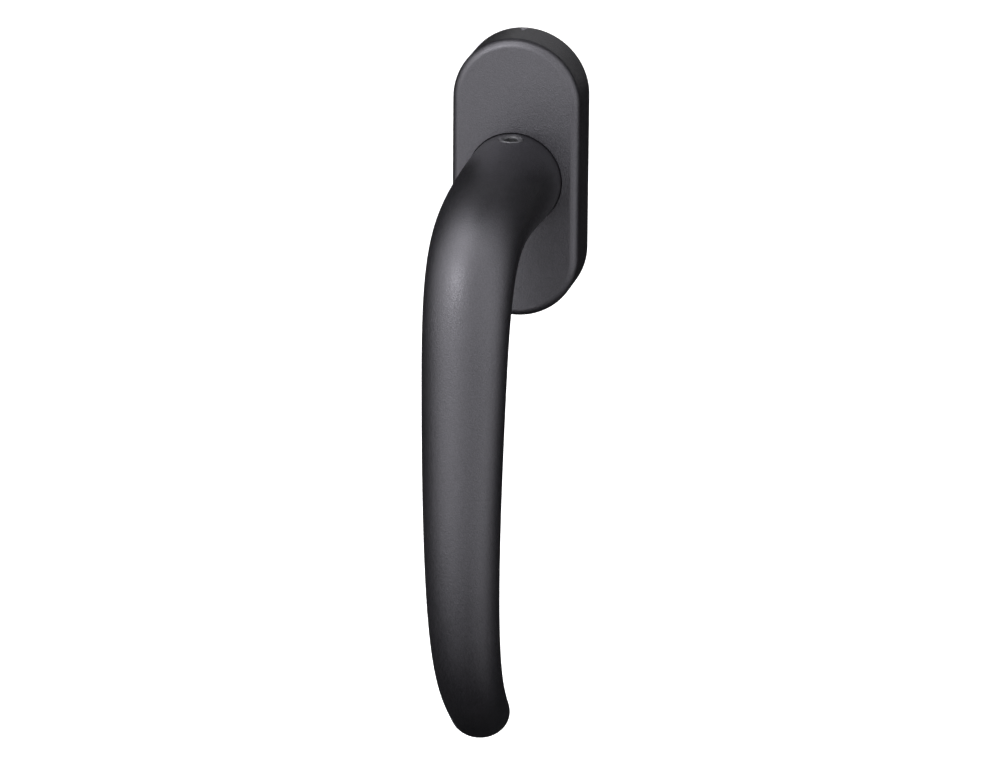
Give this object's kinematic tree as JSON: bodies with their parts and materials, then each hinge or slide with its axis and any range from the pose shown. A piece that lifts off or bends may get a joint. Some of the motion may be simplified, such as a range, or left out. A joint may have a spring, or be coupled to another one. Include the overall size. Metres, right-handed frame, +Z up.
{
  "type": "window lever handle",
  "caption": "Cranked lever handle on an obround rosette with a ball detent, square spindle, support cams and countersunk screws.",
  "frame": {"origin": "on the spindle axis where the rosette meets the sash", "axes": "+Y into the sash along the spindle, +Z up, +X to the right seen from the room; the grip hangs down along -Z"},
  "size_m": [0.0308, 0.1038, 0.163],
  "materials": {
    "coated_aluminium": "fine textured anthracite powder coat, satin",
    "black_steel": "black oxide",
    "zinc_casting": "bare zinc die casting, matt",
    "plated_steel": "bright zinc plated",
    "polished_steel": "polished ball steel",
    "spring_steel": "drawn spring steel",
    "glide_plastic": "natural acetal"
  },
  "bodies": {
    "base": {"base_plate": "zinc_casting", "back_sheet": "plated_steel", "rivet_upper": "plated_steel", "rivet_lower": "plated_steel", "fixing_screw_upper": "plated_steel", "fixing_screw_lower": "plated_steel", "thrust_washer": "spring_steel", "glide_ring": "glide_plastic", "detent_spring_upper": "spring_steel", "detent_spring_lower": "spring_steel", "cover_spring_upper_left": "spring_steel", "cover_spring_upper_right": "spring_steel", "cover_spring_lower_left": "spring_steel", "cover_spring_lower_right": "spring_steel"},
    "cover": {"cover": "coated_aluminium"},
    "rotor": {"rotor": "zinc_casting", "spindle": "plated_steel", "spindle_pin": "plated_steel"},
    "lever": {"lever": "coated_aluminium"},
    "set_screw": {"set_screw": "black_steel"},
    "ball_upper": {"ball_upper": "polished_steel"},
    "ball_lower": {"ball_lower": "polished_steel"}
  },
  "joints": [
    {"name": "lever_turn", "type": "hinge", "parent": "base", "child": "rotor", "pos_m": [0, 0, 0], "axis": [0, 1, 0], "continuous": true},
    {"name": "lever_pull", "type": "slide", "parent": "rotor", "child": "lever", "axis": [0, -1, 0], "range_m": [0, 0.02]},
    {"name": "set_screw_travel", "type": "slide", "parent": "lever", "child": "set_screw", "axis": [0, 0, 1], "range_m": [0, 0.0015]},
    {"name": "cover_lift", "type": "slide", "parent": "base", "child": "cover", "axis": [0, -1, 0], "range_m": [0, 0.014]},
    {"name": "ball_upper_travel", "type": "slide", "parent": "base", "child": "ball_upper", "axis": [0, 0, -1], "range_m": [0, 0.0008], "deforming": ["detent_spring_upper"]},
    {"name": "ball_lower_travel", "type": "slide", "parent": "base", "child": "ball_lower", "axis": [0, 0, 1], "range_m": [0, 0.0008], "deforming": ["detent_spring_lower"]}
  ]
}
